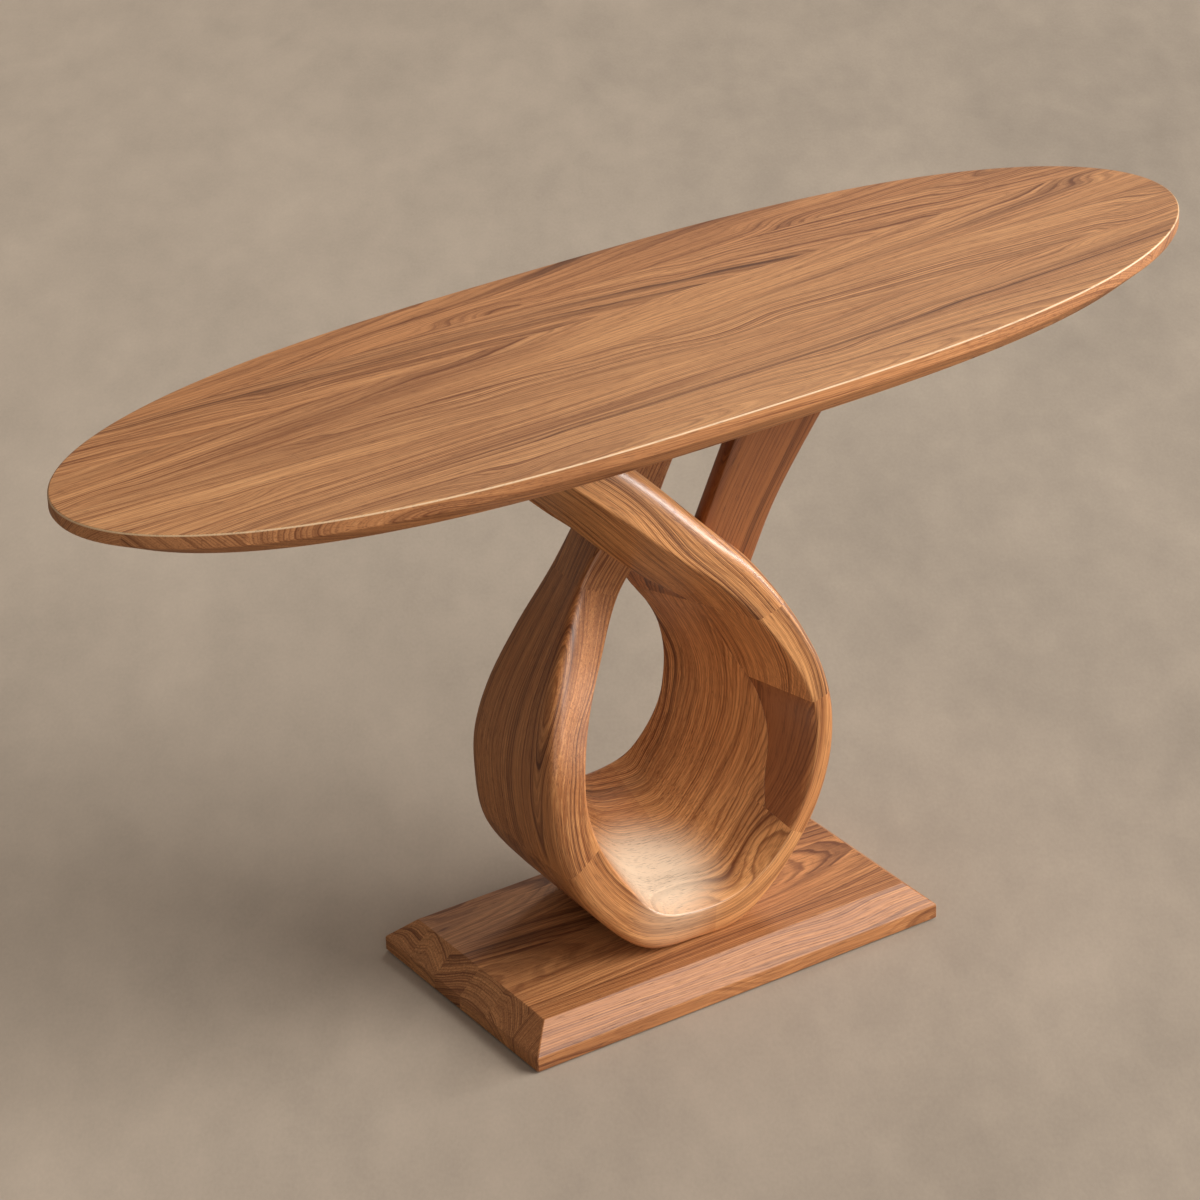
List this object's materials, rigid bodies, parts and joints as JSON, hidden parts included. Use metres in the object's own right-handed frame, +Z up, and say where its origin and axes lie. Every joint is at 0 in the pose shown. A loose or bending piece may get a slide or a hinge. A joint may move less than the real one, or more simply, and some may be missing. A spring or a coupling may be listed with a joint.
{
  "type": "pedestal console table",
  "caption": "Walnut console table with a long oval top on a sculpted loop pedestal and a bevelled plinth.",
  "frame": {"origin": "on the floor under the middle of the table", "axes": "+X along the length of the top, +Y towards the back, +Z up"},
  "size_m": [1.432, 0.456, 0.76],
  "materials": {
    "walnut_top": "satin oiled walnut",
    "walnut_pedestal": "satin oiled walnut",
    "walnut_plinth": "satin oiled walnut",
    "steel": "zinc plated",
    "brass": "turned brass",
    "felt": "dark felt"
  },
  "bodies": {
    "root": {"back_left_arm": "walnut_pedestal", "back_left_arm_plate": "steel", "back_left_arm_plate_screw_1": "steel", "back_left_arm_plate_screw_2": "steel", "back_left_arm_plate_screw_3": "steel", "back_left_arm_plate_screw_4": "steel", "back_left_arm_screw": "steel", "back_right_arm": "walnut_pedestal", "back_right_arm_plate": "steel", "back_right_arm_plate_screw_1": "steel", "back_right_arm_plate_screw_2": "steel", "back_right_arm_plate_screw_3": "steel", "back_right_arm_plate_screw_4": "steel", "back_right_arm_screw": "steel", "foot": "walnut_pedestal", "foot_bolt_1": "steel", "foot_bolt_2": "steel", "foot_insert_1": "brass", "foot_insert_2": "brass", "foot_washer_1": "steel", "foot_washer_2": "steel", "front_left_arm": "walnut_pedestal", "front_left_arm_plate": "steel", "front_left_arm_plate_screw_1": "steel", "front_left_arm_plate_screw_2": "steel", "front_left_arm_plate_screw_3": "steel", "front_left_arm_plate_screw_4": "steel", "front_left_arm_screw": "steel", "front_right_arm": "walnut_pedestal", "front_right_arm_plate": "steel", "front_right_arm_plate_screw_1": "steel", "front_right_arm_plate_screw_2": "steel", "front_right_arm_plate_screw_3": "steel", "front_right_arm_plate_screw_4": "steel", "front_right_arm_screw": "steel", "left_side_lower": "walnut_pedestal", "left_side_upper": "walnut_pedestal", "pad_1": "felt", "pad_2": "felt", "pad_3": "felt", "pad_4": "felt", "pad_5": "felt", "pad_6": "felt", "plinth_stave_1": "walnut_plinth", "plinth_stave_2": "walnut_plinth", "plinth_stave_3": "walnut_plinth", "plinth_stave_4": "walnut_plinth", "plinth_stave_5": "walnut_plinth", "plinth_stave_6": "walnut_plinth", "right_front_lower": "walnut_pedestal", "right_front_upper": "walnut_pedestal", "right_shoulder": "walnut_pedestal", "right_side_lower": "walnut_pedestal", "right_side_upper": "walnut_pedestal", "top_board_1": "walnut_top", "top_board_2": "walnut_top", "top_board_3": "walnut_top", "top_board_4": "walnut_top", "top_board_5": "walnut_top", "top_board_6": "walnut_top"}
  },
  "joints": []
}
